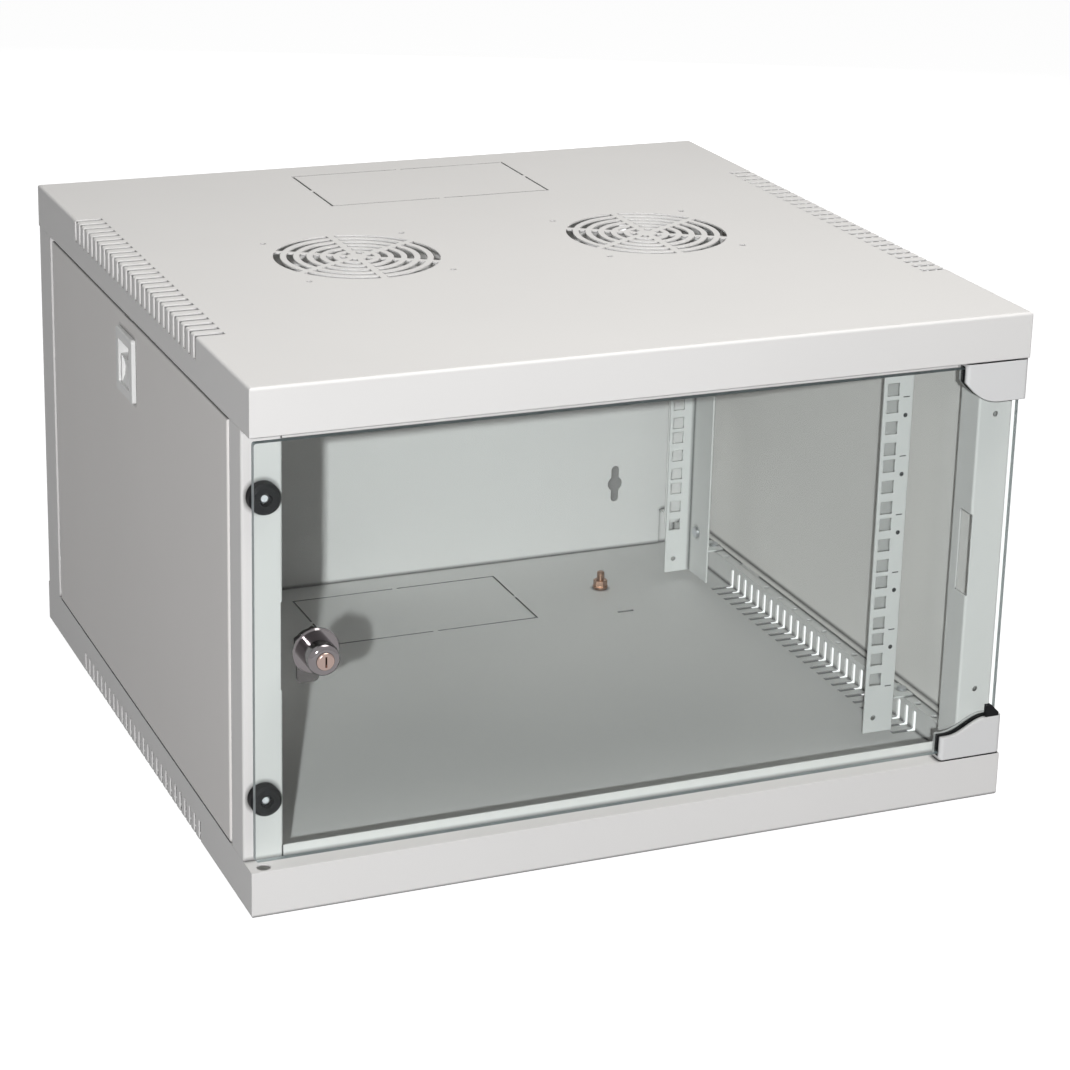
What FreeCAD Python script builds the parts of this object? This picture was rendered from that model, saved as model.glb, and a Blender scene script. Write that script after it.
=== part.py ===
import FreeCAD, Part
import math
import os
from FreeCAD import Vector

# Wall mount network cabinet for 19 inch equipment, six units high.
# Millimetres. X runs to the right seen from the front, Y to the rear, Z up.
# The origin is the centre of the underside. The cabinet is symmetric left to
# right, so most pieces are drawn on the left (-X) and mirrored.

# ---- driving dimensions -------------------------------------------------------
DEPTH = 542.0
RAIL_TO_SIDE = 42.45     # from the rack holes' centres to the cabinet's side
RACK_END_ROOM = 44.65    # above the highest unit and below the lowest

# 19 inch hole pattern
UNIT = 44.45
UNIT_COUNT = 6
UNIT_HOLES = (6.35, 22.225, 38.1)
RACK_HOLE_SPACING = 465.1
RACK_HOLE = 9.5

# roof and base pans
SHEET = 1.2              # steel of the pans, uprights, sill, bars and back
PAN_HEIGHT = 32.0        # height of the fascia and skirts
PAN_BEND = 2.0           # outside bend radius
LEDGE = 15.0             # inward return along the sides
LIP = 31.0               # inward return behind the fascia
LEDGE_HOLE = 5.0         # row of fixing holes along the side ledges
LEDGE_HOLE_STEPS = 13    # steps of the row from one rail's bracket to the other's
LEDGE_HOLE_SPARE = 2     # holes of the row beyond each bracket

# vents that wrap over the long side bends of both pans
VENT_COUNT = 27
VENT_PITCH = 11.8
VENT_WIDTH = 5.0
VENT_FLAT_REACH = 20.0   # across the flat sheet, from the side
VENT_SKIRT_REACH = 16.0  # along the skirt, from the flat sheet

# cable entry knock-out, one in each pan
KNOCKOUT_AT_X = 6.0
KNOCKOUT_WIDTH = 175.0
KNOCKOUT_DEPTH = 97.0
KNOCKOUT_FROM_REAR = 31.0
KNOCKOUT_SLIT = 1.6
KNOCKOUT_BRIDGE = 4.0

# fan grilles in the roof
FAN_SPACING = 224.0
FAN_RING_RADIUS = 56.5
FAN_RING_STEP = 9.3
FAN_RING_COUNT = 6
FAN_SLOT = 4.8
FAN_SPOKE = 5.2
FAN_SPOKE_COUNT = 6
FAN_SPOKE_TURN = 30.0
FAN_SCREW_SQUARE = 105.0
FAN_SCREW_HOLE = 4.4

# front uprights and the strips between them
FRAME_RECESS = 18.0      # from the fascia back to the uprights' faces
UPRIGHT_FACE = 26.5
UPRIGHT_DEPTH = 24.0
UPRIGHT_RETURN = 11.0
UPRIGHT_BEND = 1.8
UPRIGHT_TAB = 14.0
STRIP_HEIGHT = 8.0
STRIP_FOOT = 12.0
CAM_NOTCH_HEIGHT = 60.0
CAM_NOTCH_DEPTH = 15.0

# back
BACK_RETURN = 36.0       # depth of the back's side walls
BACK_SEAM = 1.0          # gap between the back sheet and the ends of the ledges
KEYHOLE_FROM_CENTRE = 216.0
KEYHOLE_FROM_PAN = 28.0
KEYHOLE_RADIUS = 6.5
KEYHOLE_SLOT = 7.0
KEYHOLE_LENGTH = 32.0

# rack rails
RAIL_SHEET = 1.5
RAIL_WIDTH = 23.5
RAIL_LEG = 35.0
RAIL_EDGE = 7.6          # hole centre to the rail's inner edge
RAIL_CLEAR = 8.0         # end of the rail to the flat sheet of the pan
RAIL_FRONT_SETBACK = 107.0
RAIL_REAR_SETBACK = 87.0
RAIL_FIX_HOLE = 5.5
RAIL_END_HOLE = 4.0
RAIL_END_HOLE_UP = 11.5  # from the rail's end

# angle brackets that hold the rails to the pans' ledges
BRACKET_SHEET = 1.5
BRACKET_LENGTH = 22.0
BRACKET_HEIGHT = 24.0
BRACKET_BEHIND_FACE = 14.0
BRACKET_SCREW_UP = 15.0
BRACKET_TO_PANEL = 0.8
SCREW_HEAD = 2.2
SCREW_HEAD_RADIUS = 4.6
LEDGE_HEAD_RADIUS = 3.5

# removable side panels
PANEL_SHEET = 1.0
PANEL_FLANGE = 7.0
PANEL_END_GAP = 5.0      # open joint to the upright and to the back's side wall
PANEL_TOP_GAP = 2.2
PANEL_SEAT = 0.3
PANEL_BEND = 1.5
TONGUE_WIDTH = 30.0
TONGUE_DROP = 6.0
TONGUE_SPACING = 220.0
TONGUE_SLOT_END = 2.0    # slot past each end of a tongue
TONGUE_SLOT_OUT = 1.2    # slot past its outer face
TONGUE_SLOT_IN = 2.8     # room for the panel to tip out

# panel latches
LATCH_AT_Y = 13.0
LATCH_BELOW_PAN = 13.0
LATCH_WIDTH = 42.0
LATCH_HEIGHT = 46.0
LATCH_PROUD = 3.0
LATCH_RIM = 4.0
LATCH_WALL = 3.5
LATCH_DEPTH = 8.0
LATCH_PAD = 20.0
BOLT_WIDTH = 16.0
BOLT_THICK = 2.5
BOLT_FROM_PANEL = 3.0    # from the panel sheet in to the bolt
BOLT_SLOT_GAP = 1.0
LATCH_CORNER = 2.4
LATCH_EDGE = 1.0
PAD_SCOOP = 2.5          # depth of the thumb's hollow
PAD_SCOOP_INSET = 3.0

# glass door
GLASS = 5.0
GLASS_SIDE_GAP = 4.0
GLASS_END_GAP = 5.0
GLASS_SETBACK = 4.0
GLASS_CORNER = 2.0
PIVOT_FROM_SIDE = 10.0
CLAMP_LENGTH = 48.0
CLAMP_HEIGHT = 28.0
UPPER_TIP = 13.0         # height of the upper clamp's narrow end
UPPER_SWEEP = (0.0, 8.0, 16.0, 27.0)    # from the tip: start, bulge, shoulder and end
UPPER_BULGE = 10.0
LOWER_TIP = 17.0
LOWER_SWEEP = (6.0, 18.0, 25.0, 38.0)
LOWER_BULGE = 0.5
CLAMP_REAR_PLATE = 2.5
CLAMP_FLOOR = 2.0
CLAMP_EDGE = 3.0
CLAMP_END_GAP = 1.1
GASKET = 0.5
PIVOT_RADIUS = 3.0
PIVOT_REACH = 9.0
PIVOT_POINT = 0.8
BUSH_WALL = 1.5
BUSH_COLLAR = 0.8
BUSH_COLLAR_WIDTH = 2.4
CLAMP_SCREW_RADIUS = 2.0
CLAMP_SCREW_HEAD_RADIUS = 3.8
CLAMP_SCREW_HEAD = 1.2
CLAMP_SCREW_SPACING = 24.0
CLAMP_SCREW_FROM_TIP = 14.4
CLAMP_SCREW_UP = 11.0
GASKET_INSET = 1.6
BLOCK_FROM_SIDE = 2.5    # black wedge on top of the lower clamp
BLOCK_LENGTH = 10.0
BLOCK_HEIGHT = 8.5
BLOCK_SLOPE = 6.0
BLOCK_SETBACK = 0.6

# rubber bumpers behind the door's free edge
BUMPER_RADIUS = 10.3
BUMPER_FROM_MIDDLE = 102.0
BUMPER_GAP = 0.3
BUMPER_EDGE = 2.0
BUMPER_SOLE = 3.0        # rubber left under the screw's head
BUMPER_STEM = 4.0
BUMPER_HEAD = 2.2
BUMPER_HEAD_RADIUS = 3.4
BUMPER_HEAD_GAP = 0.8
BUMPER_STEM_END = 3.0    # screw's end behind the upright's face

# cam lock
LOCK_FROM_SIDE = 44.0
LOCK_FLANGE_RADIUS = 15.5
LOCK_FLANGE = 2.0
LOCK_BARREL_RADIUS = 10.8
LOCK_BARREL = 17.0
LOCK_BARREL_EDGE = 4.0
LOCK_BODY_RADIUS = 9.0
LOCK_HOLE_GAP = 0.5
LOCK_CORE_RADIUS = 6.0
LOCK_CORE_DOME = 1.6
KEY_SLOT = 1.2
KEY_SLOT_LENGTH = 7.2
KEY_SLOT_DEPTH = 6.0
LOCK_NUT_ACROSS = 24.0
LOCK_NUT = 4.0
CAM_LENGTH = 28.0
CAM_WIDTH = 15.0
CAM_THICK = 2.0
CAM_CORNER = 4.0
CAM_HEAD_ACROSS = 8.0
CAM_HEAD = 3.0
CAM_BEHIND = 1.2         # running gap between the cam and the upright's face

# earth point on the floor
EARTH_FROM_SIDE = 107.0
EARTH_FROM_REAR = 85.0
STUD_RADIUS = 3.0
STUD_HEIGHT = 16.0
STUD_POINT = 0.7
STUD_COLLAR = 1.5
STUD_COLLAR_RADIUS = 5.5
NUT_ACROSS = 10.0
NUT_HEIGHT = 5.0
WASHER = 1.0
WASHER_RADIUS = 6.2
TIE_SLOT_FROM_SIDE = 108.0
TIE_SLOT_FROM_REAR = 139.0
TIE_SLOT_LENGTH = 14.0
TIE_SLOT_WIDTH = 3.0

RUNNING_FIT = 0.05
SLIDE_FIT = 0.25
PIECE_GAP = 0.3

# ---- places worked out from them ----------------------------------------------
WIDTH = RACK_HOLE_SPACING + 2 * RAIL_TO_SIDE
HEIGHT = UNIT * UNIT_COUNT + 2 * RACK_END_ROOM
SIDE = WIDTH / 2
FRONT = -DEPTH / 2
REAR = DEPTH / 2
MIDDLE = HEIGHT / 2
FLOOR_TOP = PAN_HEIGHT               # seat of the body on the base pan
ROOF_SEAT = HEIGHT - PAN_HEIGHT
FRAME_FRONT = FRONT + FRAME_RECESS
OPENING_FRONT = FRAME_FRONT + UPRIGHT_DEPTH
OPENING_REAR = REAR - BACK_RETURN
UPRIGHT_INNER = SIDE - UPRIGHT_FACE
BACK_FACE = REAR - SHEET             # outside face of the back sheet, against the skirts
BACK_SHEET_REACH = SIDE - LEDGE - BACK_SEAM
RAIL_INNER = RACK_HOLE_SPACING / 2 - RAIL_EDGE
RAIL_OUTER = RAIL_INNER + RAIL_WIDTH
RAIL_FRONT_Y = FRONT + RAIL_FRONT_SETBACK
RAIL_REAR_Y = REAR - RAIL_REAR_SETBACK
BRACKET_FRONT_Y = RAIL_FRONT_Y + BRACKET_BEHIND_FACE
BRACKET_REAR_Y = RAIL_REAR_Y - BRACKET_BEHIND_FACE
BRACKET_OUTER = SIDE - PANEL_FLANGE - BRACKET_TO_PANEL
BRACKET_SCREW_Z = FLOOR_TOP + BRACKET_SCREW_UP
LEDGE_HOLE_X = (SIDE - LEDGE + BRACKET_OUTER) / 2
PANEL_FRONT = OPENING_FRONT + PANEL_END_GAP
PANEL_REAR = OPENING_REAR - PANEL_END_GAP
PANEL_BOTTOM = FLOOR_TOP + PANEL_SEAT
PANEL_TOP = ROOF_SEAT - PANEL_TOP_GAP
LATCH_TOP = ROOF_SEAT - LATCH_BELOW_PAN
LATCH_BOTTOM = LATCH_TOP - LATCH_HEIGHT
BOLT_OUT = SIDE - PANEL_SHEET - BOLT_FROM_PANEL  # outboard face of the latch bolt
GLASS_FRONT = FRONT + GLASS_SETBACK
GLASS_BACK = GLASS_FRONT + GLASS
GLASS_BOTTOM = FLOOR_TOP + GLASS_END_GAP
GLASS_TOP = ROOF_SEAT - GLASS_END_GAP
PIVOT_X = SIDE - PIVOT_FROM_SIDE
PIVOT_Y = GLASS_FRONT + GLASS / 2
LOCK_X = -SIDE + LOCK_FROM_SIDE
BUMPER_X = -SIDE + UPRIGHT_FACE / 2
CAM_FRONT = FRAME_FRONT + SHEET + CAM_BEHIND
EARTH_X = SIDE - EARTH_FROM_SIDE
EARTH_Y = REAR - EARTH_FROM_REAR


# ---- drawing aids --------------------------------------------------------------
def block(x0, x1, y0, y1, z0, z1):
    return Part.makeBox(x1 - x0, y1 - y0, z1 - z0, Vector(x0, y0, z0))


def rod(radius, start, length, axis):
    return Part.makeCylinder(radius, length, Vector(*start), Vector(*axis))


def cut_all(shape, tools):
    return shape.cut(Part.makeCompound(tools)).removeSplitter()


def join(shapes):
    return shapes[0].fuse(shapes[1:]).removeSplitter()


def other_side(shape):
    return shape.mirror(Vector(0, 0, 0), Vector(1, 0, 0))


def upside_down(shape):
    return shape.mirror(Vector(0, 0, MIDDLE), Vector(0, 0, 1))


def both_sides(shapes):
    return shapes + [other_side(s) for s in shapes]


def edges_along(shape, axis, keep):
    """Straight edges parallel to an axis whose middle passes the test."""
    found = []
    for edge in shape.Edges:
        ends = [v.Point for v in edge.Vertexes]
        if len(ends) == 2 and abs((ends[1] - ends[0]).normalize().dot(axis)) > 0.999:
            if keep((ends[0] + ends[1]) * 0.5):
                found.append(edge)
    return found


def hexagon(across, start, height, axis):
    """Hexagonal prism with a given width across its flats."""
    radius = across / math.sqrt(3)
    normal = Vector(*axis)
    flat = Vector(1, 0, 0)
    rim = []
    for corner in range(7):
        turn = FreeCAD.Rotation(normal, 60 * corner + 30)
        rim.append(Vector(*start) + turn.multVec(flat) * radius)
    return Part.Face(Part.makePolygon(rim)).extrude(normal * height)


# ---- roof and base pans ----------------------------------------------------------
def knockout_slits():
    """Cut lines round the cable entry plate, held by one small bridge a side."""
    half = KNOCKOUT_WIDTH / 2
    far = REAR - KNOCKOUT_FROM_REAR
    near = far - KNOCKOUT_DEPTH
    slit = KNOCKOUT_SLIT / 2
    bridge = KNOCKOUT_BRIDGE / 2
    mid = (near + far) / 2
    cuts = []
    for y in (near, far):
        cuts.append(block(-half - slit, -bridge, y - slit, y + slit, -1, SHEET + 1))
    cuts.append(block(-half - slit, -half + slit, near - slit, mid - bridge, -1, SHEET + 1))
    cuts.append(block(-half - slit, -half + slit, mid + bridge, far + slit, -1, SHEET + 1))
    plate = both_sides(cuts)
    for cut in plate:
        cut.translate(Vector(KNOCKOUT_AT_X, 0, 0))
    return plate


def edge_vents():
    """Slots that start in the flat sheet and run over the bend into the skirt."""
    cuts = []
    for i in range(VENT_COUNT):
        y = (i - (VENT_COUNT - 1) / 2) * VENT_PITCH
        cuts.append(block(-SIDE - 1, -SIDE + VENT_FLAT_REACH, y - VENT_WIDTH / 2,
                          y + VENT_WIDTH / 2, -1, VENT_SKIRT_REACH))
    return both_sides(cuts)


def pan(extra_cuts):
    """Base pan: floor, four skirts, side ledges and front lip. The roof is its mirror."""
    shell = block(-SIDE, SIDE, FRONT, REAR, 0, PAN_HEIGHT)
    bends = edges_along(shell, Vector(1, 0, 0), lambda p: p.z < 1)
    bends += edges_along(shell, Vector(0, 1, 0), lambda p: p.z < 1)
    shell = shell.makeFillet(PAN_BEND, bends)
    hollow = block(-SIDE + SHEET, SIDE - SHEET, FRONT + SHEET, REAR - SHEET,
                   SHEET, PAN_HEIGHT - SHEET)
    mouth = block(-SIDE + LEDGE, SIDE - LEDGE, FRONT + LIP, BACK_FACE,
                  PAN_HEIGHT - SHEET - 1, PAN_HEIGHT + 1)
    pivot_hole = rod(PIVOT_RADIUS + BUSH_WALL, (-PIVOT_X, PIVOT_Y, PAN_HEIGHT - SHEET - 1),
                     SHEET + 2, (0, 0, 1))
    cuts = [hollow, mouth] + both_sides([pivot_hole])
    cuts += knockout_slits() + edge_vents() + ledge_holes()
    return cut_all(shell, cuts + extra_cuts)


def ledge_holes():
    """Row of holes along each side ledge, except where a tongue slot is."""
    cuts = []
    step = (BRACKET_REAR_Y - BRACKET_FRONT_Y) / LEDGE_HOLE_STEPS
    for i in range(-LEDGE_HOLE_SPARE, LEDGE_HOLE_STEPS + LEDGE_HOLE_SPARE + 1):
        y = BRACKET_FRONT_Y + i * step
        clear = abs(abs(y) - TONGUE_SPACING / 2) > TONGUE_WIDTH / 2 + LEDGE_HOLE
        if clear or i in (0, LEDGE_HOLE_STEPS):
            cuts.append(rod(LEDGE_HOLE / 2, (-LEDGE_HOLE_X, y, PAN_HEIGHT - SHEET - 1),
                            SHEET + 2, (0, 0, 1)))
    return both_sides(cuts)


def tongue_slots():
    """Slots in the base's side ledges for the side panels' tongues."""
    cuts = []
    inner = SIDE - PANEL_FLANGE
    half = TONGUE_WIDTH / 2 + TONGUE_SLOT_END
    for y in (-TONGUE_SPACING / 2, TONGUE_SPACING / 2):
        cuts.append(block(-inner - PANEL_SHEET - TONGUE_SLOT_OUT, -inner + TONGUE_SLOT_IN,
                          y - half, y + half, PAN_HEIGHT - SHEET - 1, PAN_HEIGHT + 1))
    return both_sides(cuts)


def bolt_slots():
    """Slots in the roof's side ledges for the latch bolts, drawn in the base pan's place."""
    half = BOLT_WIDTH / 2 + BOLT_SLOT_GAP
    slot = block(-BOLT_OUT - BOLT_SLOT_GAP, -BOLT_OUT + BOLT_THICK + BOLT_SLOT_GAP,
                 LATCH_AT_Y - half, LATCH_AT_Y + half, PAN_HEIGHT - SHEET - 1, PAN_HEIGHT + 1)
    return both_sides([slot])


def ring_slot(cx, radius, start, end):
    """Curved slot between two angles, through the flat sheet."""
    a0 = math.radians(start)
    a1 = math.radians(end)
    am = (a0 + a1) / 2

    def at(r, a):
        return Vector(cx + r * math.cos(a), r * math.sin(a), -1)

    r_out = radius + FAN_SLOT / 2
    r_in = radius - FAN_SLOT / 2
    rim = [Part.Arc(at(r_out, a0), at(r_out, am), at(r_out, a1)).toShape(),
           Part.makeLine(at(r_out, a1), at(r_in, a1)),
           Part.Arc(at(r_in, a1), at(r_in, am), at(r_in, a0)).toShape(),
           Part.makeLine(at(r_in, a0), at(r_out, a0))]
    return Part.Face(Part.Wire(rim)).extrude(Vector(0, 0, SHEET + 2))


def fan_grilles():
    """Concentric ring slots broken by straight spokes, and each fan's screw holes."""
    cuts = []
    sector = 360 / FAN_SPOKE_COUNT
    for cx in (-FAN_SPACING / 2, FAN_SPACING / 2):
        for ring in range(FAN_RING_COUNT):
            radius = FAN_RING_RADIUS - ring * FAN_RING_STEP
            half_spoke = math.degrees(math.asin(FAN_SPOKE / 2 / radius))
            for spoke in range(FAN_SPOKE_COUNT):
                start = FAN_SPOKE_TURN + spoke * sector
                cuts.append(ring_slot(cx, radius, start + half_spoke,
                                      start + sector - half_spoke))
        for sx in (-1, 1):
            for sy in (-1, 1):
                place = (cx + sx * FAN_SCREW_SQUARE / 2, sy * FAN_SCREW_SQUARE / 2, -1)
                cuts.append(rod(FAN_SCREW_HOLE / 2, place, SHEET + 2, (0, 0, 1)))
    return cuts


def base_pan():
    x = SIDE - TIE_SLOT_FROM_SIDE
    y = REAR - TIE_SLOT_FROM_REAR
    tie_slot = block(x - TIE_SLOT_LENGTH / 2, x + TIE_SLOT_LENGTH / 2, y - TIE_SLOT_WIDTH / 2,
                     y + TIE_SLOT_WIDTH / 2, -1, SHEET + 1)
    stud_hole = rod(STUD_RADIUS, (EARTH_X, EARTH_Y, -1), SHEET + 2, (0, 0, 1))
    return pan(tongue_slots() + [tie_slot, stud_hole])


def roof_cover():
    return upside_down(pan(bolt_slots() + fan_grilles()))


# ---- body between the pans -----------------------------------------------------
def front_upright():
    """Left front upright: folded channel, notched for the lock cam, with end tabs."""
    z0 = FLOOR_TOP
    z1 = ROOF_SEAT
    y0 = FRAME_FRONT
    y1 = OPENING_FRONT
    shell = block(-SIDE, -UPRIGHT_INNER, y0, y1, z0, z1)
    bends = edges_along(shell, Vector(0, 0, 1), lambda p: p.y < y0 + 1)
    shell = shell.makeFillet(UPRIGHT_BEND, bends)
    hollow = block(-SIDE + SHEET, -UPRIGHT_INNER - SHEET, y0 + SHEET, y1 - SHEET, z0 - 1, z1 + 1)
    mouth = block(-SIDE + UPRIGHT_RETURN, -UPRIGHT_INNER - SHEET, y1 - SHEET - 1, y1 + 1,
                  z0 - 1, z1 + 1)
    notch = block(-UPRIGHT_INNER - SHEET, -UPRIGHT_INNER + 1, y0 - 1, y0 + CAM_NOTCH_DEPTH,
                  MIDDLE - CAM_NOTCH_HEIGHT / 2, MIDDLE + CAM_NOTCH_HEIGHT / 2)
    holes = []
    for dz in (-BUMPER_FROM_MIDDLE, BUMPER_FROM_MIDDLE):
        holes.append(rod(BUMPER_STEM / 2, (BUMPER_X, y0 - 1, MIDDLE + dz), SHEET + 2, (0, 1, 0)))
    channel = cut_all(shell, [hollow, mouth, notch] + holes)
    tab = block(-SIDE + SHEET, -UPRIGHT_INNER - SHEET, y0 + SHEET, y0 + UPRIGHT_TAB,
                z0, z0 + SHEET)
    return join([channel, tab, upside_down(tab)])


def front_strip():
    """Sill strip between the uprights: an angle standing on the base pan's lip."""
    face = block(-UPRIGHT_INNER, UPRIGHT_INNER, FRAME_FRONT, FRAME_FRONT + SHEET,
                 FLOOR_TOP, FLOOR_TOP + STRIP_HEIGHT)
    foot = block(-UPRIGHT_INNER, UPRIGHT_INNER, FRAME_FRONT, FRAME_FRONT + STRIP_FOOT,
                 FLOOR_TOP, FLOOR_TOP + SHEET)
    return join([face, foot])


def keyhole(x, z):
    """Round hole with a narrow slot above and below, through the back."""
    y = BACK_FACE - SHEET - 1
    ring = rod(KEYHOLE_RADIUS, (x, y, z), SHEET + 2, (0, 1, 0))
    slot = block(x - KEYHOLE_SLOT / 2, x + KEYHOLE_SLOT / 2, y, y + SHEET + 2,
                 z - KEYHOLE_LENGTH / 2, z + KEYHOLE_LENGTH / 2)
    ends = edges_along(slot, Vector(0, 1, 0), lambda p: True)
    return ring.fuse(slot.makeFillet(KEYHOLE_SLOT / 2 - 0.01, ends))


def back_panel():
    """Back sheet that stands inside the pans, with side walls and rear columns."""
    y0 = OPENING_REAR
    shell = block(-SIDE, SIDE, y0, BACK_FACE, FLOOR_TOP, ROOF_SEAT)
    bends = edges_along(shell, Vector(0, 0, 1), lambda p: p.y > BACK_FACE - 1)
    shell = shell.makeFillet(UPRIGHT_BEND, bends)
    hollow = block(-SIDE + SHEET, SIDE - SHEET, y0 + SHEET, BACK_FACE - SHEET, 0, HEIGHT)
    mouth = block(-UPRIGHT_INNER, UPRIGHT_INNER, y0 - 1, y0 + SHEET + 1, 0, HEIGHT)
    sheet = block(-BACK_SHEET_REACH, BACK_SHEET_REACH, BACK_FACE - SHEET, BACK_FACE,
                  SHEET, HEIGHT - SHEET)
    cuts = []
    drop = PAN_HEIGHT + KEYHOLE_FROM_PAN
    for x in (-KEYHOLE_FROM_CENTRE, KEYHOLE_FROM_CENTRE):
        for z in (drop, HEIGHT - drop):
            cuts.append(keyhole(x, z))
    return cut_all(join([cut_all(shell, [hollow, mouth]), sheet]), cuts)


# ---- rack rails -------------------------------------------------------------------
def rack_rail(face_y, inward):
    """Left rail. The leg runs back from its face (inward 1) or forward (inward -1)."""
    z0 = SHEET + RAIL_CLEAR
    z1 = HEIGHT - z0
    y1 = face_y + inward * RAIL_SHEET
    y2 = face_y + inward * RAIL_LEG
    face = block(-RAIL_OUTER, -RAIL_INNER, min(face_y, y1), max(face_y, y1), z0, z1)
    leg = block(-RAIL_OUTER, -RAIL_OUTER + RAIL_SHEET, min(face_y, y2), max(face_y, y2), z0, z1)
    cuts = []
    x = -RACK_HOLE_SPACING / 2
    half = RACK_HOLE / 2
    for unit in range(UNIT_COUNT):
        for step in UNIT_HOLES:
            z = RACK_END_ROOM + unit * UNIT + step
            cuts.append(block(x - half, x + half, min(face_y, y1) - 1, max(face_y, y1) + 1,
                              z - half, z + half))
    fix_y = face_y + inward * BRACKET_BEHIND_FACE
    for z in (BRACKET_SCREW_Z, HEIGHT - BRACKET_SCREW_Z):
        cuts.append(rod(RAIL_FIX_HOLE / 2, (-RAIL_OUTER - 1, fix_y, z), RAIL_SHEET + 2,
                        (1, 0, 0)))
    for z in (z0 + RAIL_END_HOLE_UP, z1 - RAIL_END_HOLE_UP):
        cuts.append(rod(RAIL_END_HOLE / 2, (x, min(face_y, y1) - 1, z), RAIL_SHEET + 2,
                        (0, 1, 0)))
    return cut_all(join([face, leg]), cuts)


def rail_bracket(y):
    """Lower left angle bracket: plate on the rail's leg, foot on the base pan's ledge."""
    y0 = y - BRACKET_LENGTH / 2
    y1 = y + BRACKET_LENGTH / 2
    plate = block(-RAIL_OUTER - BRACKET_SHEET, -RAIL_OUTER, y0, y1,
                  FLOOR_TOP, FLOOR_TOP + BRACKET_HEIGHT)
    foot = block(-BRACKET_OUTER, -RAIL_OUTER, y0, y1, FLOOR_TOP, FLOOR_TOP + BRACKET_SHEET)
    hole_up = rod(RAIL_FIX_HOLE / 2, (-RAIL_OUTER - BRACKET_SHEET - 1, y, BRACKET_SCREW_Z),
                  BRACKET_SHEET + 2, (1, 0, 0))
    hole_down = rod(LEDGE_HOLE / 2, (-LEDGE_HOLE_X, y, FLOOR_TOP - 1), BRACKET_SHEET + 2,
                    (0, 0, 1))
    return cut_all(join([plate, foot]), [hole_up, hole_down])


def rail_screw(y):
    """Screw through the rail's leg and its bracket, head inboard."""
    start = -RAIL_OUTER - BRACKET_SHEET
    shank = rod(RAIL_FIX_HOLE / 2, (start, y, BRACKET_SCREW_Z), BRACKET_SHEET + RAIL_SHEET,
                (1, 0, 0))
    head = rod(SCREW_HEAD_RADIUS, (-RAIL_OUTER + RAIL_SHEET, y, BRACKET_SCREW_Z), SCREW_HEAD,
               (1, 0, 0))
    top = -RAIL_OUTER + RAIL_SHEET + SCREW_HEAD
    rim = [e for e in head.Edges if e.BoundBox.XMin > top - 0.1]
    return join([head.makeChamfer(SCREW_HEAD / 3, rim), shank])


def ledge_screw(y):
    """Screw through a bracket's foot and the base pan's ledge, from above."""
    z0 = FLOOR_TOP - SHEET
    z1 = FLOOR_TOP + BRACKET_SHEET
    shank = rod(LEDGE_HOLE / 2, (-LEDGE_HOLE_X, y, z0), z1 - z0, (0, 0, 1))
    head = rod(LEDGE_HEAD_RADIUS, (-LEDGE_HOLE_X, y, z1), SCREW_HEAD, (0, 0, 1))
    rim = [e for e in head.Edges if e.BoundBox.ZMin > z1 + SCREW_HEAD - 0.1]
    return join([head.makeChamfer(SCREW_HEAD / 3, rim), shank])


def all_corners(shape_at):
    """One piece for each end of the left rails, mirrored to the top and the right."""
    lower = [shape_at(BRACKET_FRONT_Y), shape_at(BRACKET_REAR_Y)]
    return Part.makeCompound(both_sides(lower + [upside_down(s) for s in lower]))


# ---- side panels and their latches ------------------------------------------------
def side_panel():
    """Left panel: shallow tray with two tongues below and a cut-out for the latch."""
    shell = block(-SIDE, -SIDE + PANEL_FLANGE, PANEL_FRONT, PANEL_REAR, PANEL_BOTTOM, PANEL_TOP)
    outside = edges_along(shell, Vector(0, 1, 0), lambda p: p.x < -SIDE + 1)
    outside += edges_along(shell, Vector(0, 0, 1), lambda p: p.x < -SIDE + 1)
    shell = shell.makeFillet(PANEL_BEND, outside)
    hollow = block(-SIDE + PANEL_SHEET, -SIDE + PANEL_FLANGE + 1, PANEL_FRONT + PANEL_SHEET,
                   PANEL_REAR - PANEL_SHEET, PANEL_BOTTOM + PANEL_SHEET, PANEL_TOP - PANEL_SHEET)
    inset = LATCH_RIM - SLIDE_FIT
    window = block(-SIDE - 1, -SIDE + PANEL_SHEET + 1,
                   LATCH_AT_Y - LATCH_WIDTH / 2 + inset, LATCH_AT_Y + LATCH_WIDTH / 2 - inset,
                   LATCH_BOTTOM + inset, LATCH_TOP - inset)
    bolt_notch = block(-SIDE + PANEL_SHEET, -SIDE + PANEL_FLANGE + 1,
                       LATCH_AT_Y - BOLT_WIDTH / 2 - 1, LATCH_AT_Y + BOLT_WIDTH / 2 + 1,
                       PANEL_TOP - PANEL_SHEET - 1, PANEL_TOP + 1)
    tray = cut_all(shell, [hollow, window, bolt_notch])
    inner = -SIDE + PANEL_FLANGE
    tongues = []
    for y in (-TONGUE_SPACING / 2, TONGUE_SPACING / 2):
        tongues.append(block(inner - PANEL_SHEET, inner, y - TONGUE_WIDTH / 2,
                             y + TONGUE_WIDTH / 2, PANEL_BOTTOM - TONGUE_DROP,
                             PANEL_BOTTOM + PANEL_SHEET))
    return join([tray] + tongues)


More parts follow.
